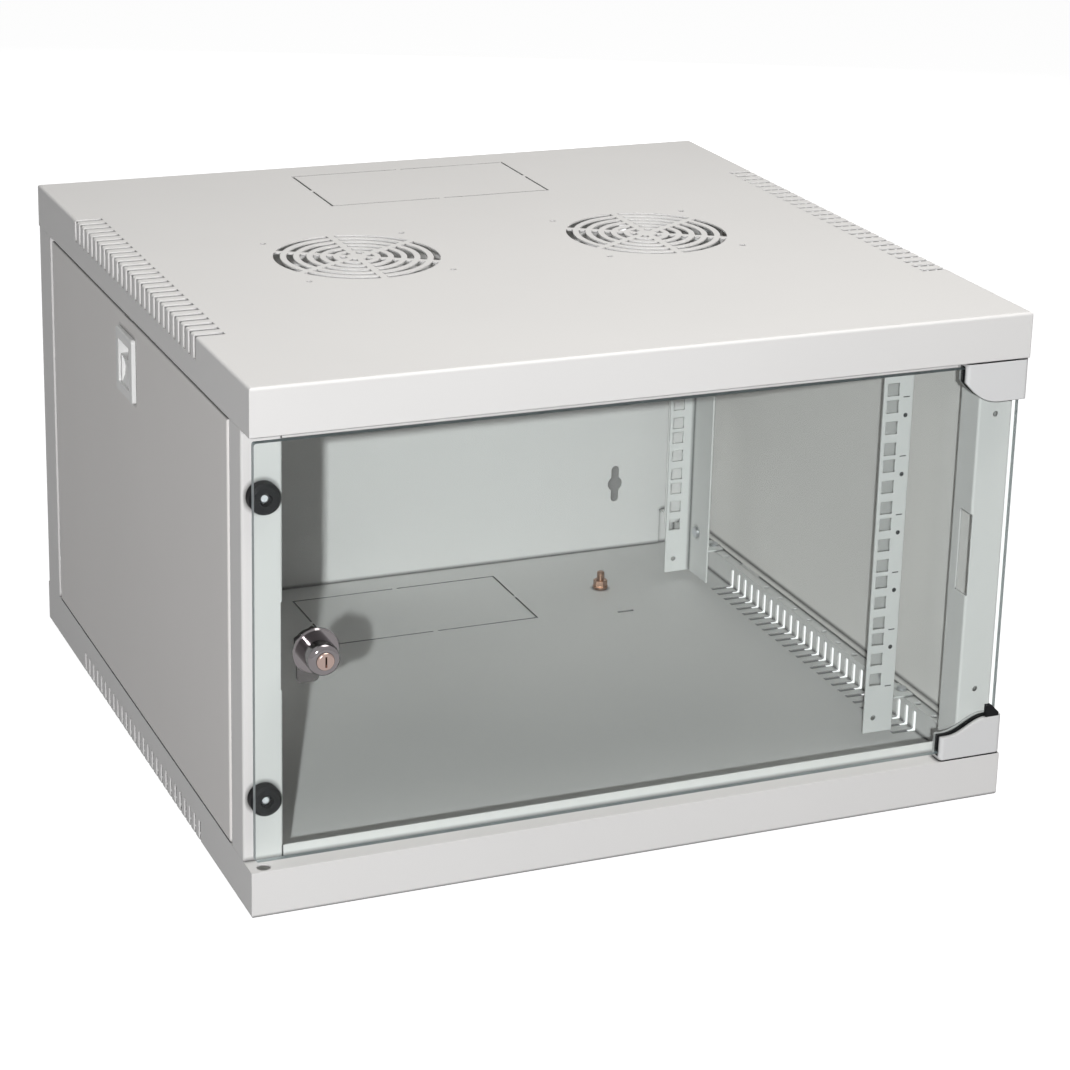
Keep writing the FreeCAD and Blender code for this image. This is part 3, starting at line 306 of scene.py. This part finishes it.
def cloudy_colour(tree, place, colour, spread):
    """A colour that drifts a little over the surface, as sprayed paint does."""
    mix = tree.nodes.new("ShaderNodeMix")
    mix.data_type = "RGBA"
    mix.inputs["A"].default_value = [c * (1 - spread) for c in colour[:3]] + [1]
    mix.inputs["B"].default_value = [min(1.0, c * (1 + spread)) for c in colour[:3]] + [1]
    tree.links.new(noise(tree, place, CLOUD_SCALE, CLOUD_DETAIL), mix.inputs["Factor"])
    return mix.outputs["Result"]


def bumped(tree, height, strength, depth):
    """A bump node that shades the surface as if the height stood out from it."""
    bump = tree.nodes.new("ShaderNodeBump")
    bump.inputs["Strength"].default_value = strength
    bump.inputs["Distance"].default_value = depth
    tree.links.new(height, bump.inputs["Height"])
    return bump


def powder_coat(name, colour, roughness, rounding=EDGE_ROUNDING):
    """Baked powder paint: a slightly uneven grey with a fine peel, rounded over sheet
    edges, and painted shade that darkens slits, gaps and contact lines a few millimetres wide."""
    material, tree, output = new_material(name)
    place = tree.nodes.new("ShaderNodeTexCoord").outputs["Object"]
    paint = tree.nodes.new("ShaderNodeBsdfPrincipled")
    # Painted shade: ambient occlusion darkens the paint in slits, gaps and contact lines.
    crevice_shade_ao = tree.nodes.new("ShaderNodeAmbientOcclusion")
    crevice_shade_ao.samples = GAP_SAMPLES
    crevice_shade_ao.inputs["Distance"].default_value = NARROW_GAP
    reach = math_node(tree, "POWER", crevice_shade_ao.outputs["AO"], number=GAP_FALL)
    cover = tree.nodes.new("ShaderNodeMix")
    cover.data_type = "RGBA"
    cover.inputs["A"].default_value = CREVICE_SHADE
    tree.links.new(cloudy_colour(tree, place, colour, CLOUD_SPREAD), cover.inputs["B"])
    tree.links.new(reach, cover.inputs["Factor"])
    tree.links.new(cover.outputs["Result"], paint.inputs["Base Color"])
    paint.inputs["Roughness"].default_value = roughness
    paint.inputs["IOR"].default_value = PAINT_IOR
    paint.inputs["Specular IOR Level"].default_value = PAINT_SHINE
    edge = tree.nodes.new("ShaderNodeBevel")
    edge.samples = EDGE_SAMPLES
    edge.inputs["Radius"].default_value = rounding
    peel = bumped(tree, noise(tree, place, PEEL_SCALE, PEEL_DETAIL), PEEL_STRENGTH, PEEL_DEPTH)
    tree.links.new(edge.outputs["Normal"], peel.inputs["Normal"])
    tree.links.new(peel.outputs["Normal"], paint.inputs["Normal"])
    tree.links.new(paint.outputs[0], output.inputs["Surface"])
    return material


def finish_nodes(material, names):
    """Gives the named CAD nodes one material in all their slots."""
    for name in names:
        node = nodes[name]
        for index in range(len(node.material_slots)):
            node.material_slots[index].link = "OBJECT"
            node.material_slots[index].material = material


case_paint = powder_coat("case_paint", CASE_GREY, CASE_ROUGHNESS)
finish_nodes(case_paint, ["roof_cover", "base_pan"])

# ---- Back, uprights, sill and header -------------------------------------------------
# The folded body between the two pans, spot welded and coated with them in the
# same light grey.
finish_nodes(case_paint, ["back_panel", "front_upright_left", "front_upright_right",
                          "front_sill", "front_header"])

# ---- Rack rails and their brackets ---------------------------------------------------
# Folded angles punched with square holes, on small angle brackets that screw to
# the pans' side ledges. Coated like the case, a shade darker and a little smoother.
RAIL_GREY = (0.68, 0.68, 0.67, 1)
RAIL_ROUGHNESS = 0.40
SIDES = ("left", "right")
RAIL_ENDS = [depth + "_" + side for depth in ("front", "rear") for side in SIDES]
rail_paint = powder_coat("rail_paint", RAIL_GREY, RAIL_ROUGHNESS)
finish_nodes(rail_paint, ["rack_rail_" + place for place in RAIL_ENDS])
finish_nodes(rail_paint, ["rail_bracket_" + level + "_" + place
                          for level in ("lower", "upper") for place in RAIL_ENDS])

# ---- Unit marks on the rails ---------------------------------------------------------
# Dark marks printed on the faces of the two front rails: a short line at each unit's
# foot and one above the last, and a dot level with the bar between each unit's second
# and third holes.
RACK_UNIT = 0.04445
UNITS = 6
MARK_X = 0.2432
MARK_LINE = (0.0050, 0.0006)
DOT_ABOVE_FOOT = 0.031
DOT_RADIUS = 0.0016
DOT_CORNERS = 16
MARK_DEPTH = 0.00015
MARK_BITE = 0.00005
MARK_INK = (0.035, 0.035, 0.038, 1)
MARK_ROUGHNESS = 0.5


def printed_ink():
    material, tree, output = new_material("mark_ink")
    ink = tree.nodes.new("ShaderNodeBsdfPrincipled")
    ink.inputs["Base Color"].default_value = MARK_INK
    ink.inputs["Roughness"].default_value = MARK_ROUGHNESS
    tree.links.new(ink.outputs[0], output.inputs["Surface"])
    return material


def outline_plate(points, depth):
    """Corners and faces of a thin plate in the XZ plane, its front face first."""
    count = len(points)
    corners = [(x, 0.0, z) for x, z in points] + [(x, depth, z) for x, z in points]
    faces = [tuple(range(count)), tuple(reversed(range(count, 2 * count)))]
    for i in range(count):
        j = (i + 1) % count
        faces.append((j, i, count + i, count + j))
    return corners, faces


def rail_marks(name, rail, side, ink):
    """All the marks of one rail, as one piece lying on the rail's front face. The side
    is -1 for the left rail and 1 for the right one."""
    box = [rail.matrix_world @ Vector(corner) for corner in rail.bound_box]
    face_y = min(corner.y for corner in box)
    foot_z = (cad_low.z + cad_high.z - UNITS * RACK_UNIT) / 2
    long, high = MARK_LINE
    line = [(-long / 2, 0.0), (long / 2, 0.0), (long / 2, high), (-long / 2, high)]
    dot = []
    for i in range(DOT_CORNERS):
        turn = 2 * math.pi * i / DOT_CORNERS
        dot.append((DOT_RADIUS * math.cos(turn), DOT_RADIUS * math.sin(turn)))
    marks = [(line, unit * RACK_UNIT) for unit in range(UNITS + 1)]
    marks += [(dot, unit * RACK_UNIT + DOT_ABOVE_FOOT) for unit in range(UNITS)]
    mark_y = face_y - MARK_DEPTH + MARK_BITE
    corners = []
    faces = []
    for points, up in marks:
        plate, plate_faces = outline_plate(points, MARK_DEPTH)
        first = len(corners)
        corners += [(side * MARK_X + x, mark_y + y, foot_z + up + z) for x, y, z in plate]
        faces += [tuple(first + i for i in face) for face in plate_faces]
    mesh = bpy.data.meshes.new(name)
    mesh.from_pydata(corners, [], faces)
    piece = bpy.data.objects.new(name, mesh)
    bpy.context.scene.collection.objects.link(piece)
    mesh.materials.append(ink)
    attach(piece, "frame")


mark_ink = printed_ink()
for side, sign in zip(SIDES, (-1, 1)):
    rail_marks("rail_marks_" + side, nodes["rack_rail_front_" + side], sign, mark_ink)

# ---- Screws and pivots ---------------------------------------------------------------
# Small zinc plated steel parts: cold headed screws for the rails, brackets and hinge
# clamps, and the turned pins that the door swings on.
ZINC = (0.60, 0.61, 0.63, 1)
ZINC_ROUGHNESS = 0.34
PLATE_SPREAD = 0.08
TUMBLE_SCALE = 1500.0
TUMBLE_DETAIL = 3.0
TUMBLE_SMOOTH = 0.8
TUMBLE_ROUGH = 1.25


def plated_steel(name, colour, roughness):
    """Bright plate on small hardware: metallic, with faint tumbling marks."""
    material, tree, output = new_material(name)
    place = tree.nodes.new("ShaderNodeTexCoord").outputs["Object"]
    metal = tree.nodes.new("ShaderNodeBsdfPrincipled")
    metal.inputs["Metallic"].default_value = 1.0
    tree.links.new(cloudy_colour(tree, place, colour, PLATE_SPREAD), metal.inputs["Base Color"])
    spread = tree.nodes.new("ShaderNodeMapRange")
    spread.inputs["To Min"].default_value = roughness * TUMBLE_SMOOTH
    spread.inputs["To Max"].default_value = roughness * TUMBLE_ROUGH
    tree.links.new(noise(tree, place, TUMBLE_SCALE, TUMBLE_DETAIL), spread.inputs["Value"])
    tree.links.new(spread.outputs["Result"], metal.inputs["Roughness"])
    tree.links.new(metal.outputs[0], output.inputs["Surface"])
    return material


zinc_plate = plated_steel("zinc_plate", ZINC, ZINC_ROUGHNESS)
finish_nodes(zinc_plate, ["rail_screws", "ledge_screws", "clamp_screws",
                          "pivot_pin_lower", "pivot_pin_upper"])

# ---- Earth stud ----------------------------------------------------------------------
# Weld stud on the base pan's floor for the cabinet's earth lead. It carries a nut and
# washer, all in one coppery plate.
COPPERY = (0.42, 0.27, 0.20, 1)
COPPERY_ROUGHNESS = 0.30
finish_nodes(plated_steel("earth_brass", COPPERY, COPPERY_ROUGHNESS),
             ["earth_stud", "earth_nut"])

# ---- Side panels ---------------------------------------------------------------------
# Shallow trays of 1 mm steel. Each stands on two tongues in the base pan, tips out at
# the top and lifts off. Powder coat drawn lighter and warmer than the case's: painted
# light in place of a fill lamp from the left.
# painted light: the panels' grey is raised above the case's to stand in for a fill lamp
PANEL_PAINTED_LIGHT_GREY = (0.765, 0.742, 0.722, 1)
PANEL_ROUGHNESS = 0.45
PANEL_ROUNDING = 0.002
panel_paint_painted_light = powder_coat("panel_paint_painted_light", PANEL_PAINTED_LIGHT_GREY, PANEL_ROUGHNESS, PANEL_ROUNDING)
finish_nodes(panel_paint_painted_light, ["side_panel_left", "side_panel_right"])

# ---- Side latches --------------------------------------------------------------------
# Housing and thumb slide of moulded grey plastic. The housing is clipped into the side
# panel, and the slide's bolt rises into a slot in the roof to hold the panel shut.
LATCH_GREY = (0.70, 0.70, 0.69, 1)
LATCH_ROUGHNESS = 0.38
PLASTIC_SPREAD = 0.05
PLASTIC_SHINE = 0.25
PLASTIC_GRAIN = 0.00002
GRAIN_SCALE = 2200.0
GRAIN_DETAIL = 2.0
GRAIN_STRENGTH = 0.4


def moulded(name, colour, roughness, grain_depth=PLASTIC_GRAIN, shine=PLASTIC_SHINE):
    """Moulded plastic or rubber with the fine grain of its tool."""
    material, tree, output = new_material(name)
    place = tree.nodes.new("ShaderNodeTexCoord").outputs["Object"]
    body = tree.nodes.new("ShaderNodeBsdfPrincipled")
    tree.links.new(cloudy_colour(tree, place, colour, PLASTIC_SPREAD), body.inputs["Base Color"])
    body.inputs["Roughness"].default_value = roughness
    body.inputs["Specular IOR Level"].default_value = shine
    grain = bumped(tree, noise(tree, place, GRAIN_SCALE, GRAIN_DETAIL), GRAIN_STRENGTH,
                   grain_depth)
    tree.links.new(grain.outputs["Normal"], body.inputs["Normal"])
    tree.links.new(body.outputs[0], output.inputs["Surface"])
    return material


finish_nodes(moulded("latch_plastic", LATCH_GREY, LATCH_ROUGHNESS),
             [piece + side for piece in ("latch_housing_", "latch_slider_") for side in SIDES])

# ---- Glass door ----------------------------------------------------------------------
# One pane of 5 mm toughened float glass with ground edges and a hole for the lock.
# The faces are clear with a faint green tint, and the ground edges are a dull dark
# blue grey.
GLASS_TINT = (0.951, 0.987, 0.979, 1)
GLASS_IOR = 1.2          # below real glass, so that the pane mirrors the room less
GLASS_ROUGHNESS = 0.0
GLASS_CLARITY = 1.0
GLASS_EDGE = (0.16, 0.20, 0.21, 1)
GLASS_EDGE_IOR = 1.5
GLASS_EDGE_ROUGHNESS = 0.35
GLASS_EDGE_CLARITY = 0.3
GLASS_FACE_TURN = 0.7    # how squarely a face of the pane looks to the front or rear
GLASS_LIT = (0.95, 0.965, 0.96, 1)    # what the pane lets through to other pieces


def glass_shader(tree, colour, ior, roughness, clarity):
    shader = tree.nodes.new("ShaderNodeBsdfPrincipled")
    shader.inputs["Base Color"].default_value = colour
    shader.inputs["IOR"].default_value = ior
    shader.inputs["Roughness"].default_value = roughness
    shader.inputs["Transmission Weight"].default_value = clarity
    return shader.outputs[0]


def float_glass():
    """Clear faces and ground edges, and the lamps' light goes straight through."""
    material, tree, output = new_material("float_glass")
    face = glass_shader(tree, GLASS_TINT, GLASS_IOR, GLASS_ROUGHNESS, GLASS_CLARITY)
    edge = glass_shader(tree, GLASS_EDGE, GLASS_EDGE_IOR, GLASS_EDGE_ROUGHNESS,
                        GLASS_EDGE_CLARITY)
    split = tree.nodes.new("ShaderNodeSeparateXYZ")
    tree.links.new(tree.nodes.new("ShaderNodeTexCoord").outputs["Normal"], split.inputs[0])
    turn = math_node(tree, "ABSOLUTE", split.outputs["Y"])
    is_face = math_node(tree, "GREATER_THAN", turn, number=GLASS_FACE_TURN)
    pane = mixed(tree, is_face, edge, face)
    clear = tree.nodes.new("ShaderNodeBsdfTransparent")
    clear.inputs["Color"].default_value = GLASS_LIT
    path = tree.nodes.new("ShaderNodeLightPath").outputs
    passing = math_node(tree, "MAXIMUM", path["Is Shadow Ray"], path["Is Diffuse Ray"])
    tree.links.new(mixed(tree, passing, pane, clear.outputs[0]), output.inputs["Surface"])
    return material


finish_nodes(float_glass(), ["door_glass"])

# ---- Corner hinges -------------------------------------------------------------------
# Die cast clamps over the two right corners of the pane, coated a shade darker than the
# case, with black pads against the glass and a black wedge on the lower one. Each turns
# on a steel pivot in a black nylon bush.
CLAMP_GREY = (0.66, 0.66, 0.66, 1)
CLAMP_ROUGHNESS = 0.36
RUBBER_BLACK = (0.010, 0.010, 0.011, 1)
RUBBER_ROUGHNESS = 0.55
RUBBER_GRAIN = 0.00003
RUBBER_SHINE = 0.08
NYLON_BLACK = (0.03, 0.03, 0.03, 1)
NYLON_ROUGHNESS = 0.4
finish_nodes(powder_coat("clamp_paint", CLAMP_GREY, CLAMP_ROUGHNESS),
             ["hinge_clamp_lower", "hinge_clamp_upper"])
black_rubber = moulded("black_rubber", RUBBER_BLACK, RUBBER_ROUGHNESS, RUBBER_GRAIN,
                       RUBBER_SHINE)
finish_nodes(black_rubber, ["clamp_gasket_lower", "clamp_gasket_upper", "hinge_corner_block"])
finish_nodes(moulded("black_nylon", NYLON_BLACK, NYLON_ROUGHNESS),
             ["pivot_bush_lower", "pivot_bush_upper"])

# ---- Door bumpers --------------------------------------------------------------------
# Two black rubber buffers on the left upright, behind the free edge of the shut door.
# Each is held by a zinc plated round head screw.
finish_nodes(black_rubber, ["bumper_lower", "bumper_upper"])
finish_nodes(zinc_plate, ["bumper_screws"])

# ---- Cam lock ------------------------------------------------------------------------
# Chrome plated barrel on a flange, through the pane, with a coppery plug for the
# key. The chrome is drawn dark: painted shade for the dark surroundings it would
# mirror. A dull steel nut clamps it from behind, and a dull steel cam turns with the plug.
# painted shade: the chrome's colour is darkened so its reflections look dark
CHROME_PAINTED_SHADE = (0.19, 0.175, 0.18, 1)
CHROME_ROUGHNESS = 0.10
PLUG_METAL = (0.36, 0.27, 0.24, 1)
PLUG_ROUGHNESS = 0.20
DULL_STEEL = (0.10, 0.09, 0.09, 1)
DULL_ROUGHNESS = 0.40
finish_nodes(plated_steel("chrome_painted_shade", CHROME_PAINTED_SHADE, CHROME_ROUGHNESS), ["lock_housing"])
finish_nodes(plated_steel("plug_metal", PLUG_METAL, PLUG_ROUGHNESS), ["lock_core"])
finish_nodes(plated_steel("dull_steel", DULL_STEEL, DULL_ROUGHNESS), ["lock_nut", "lock_cam"])
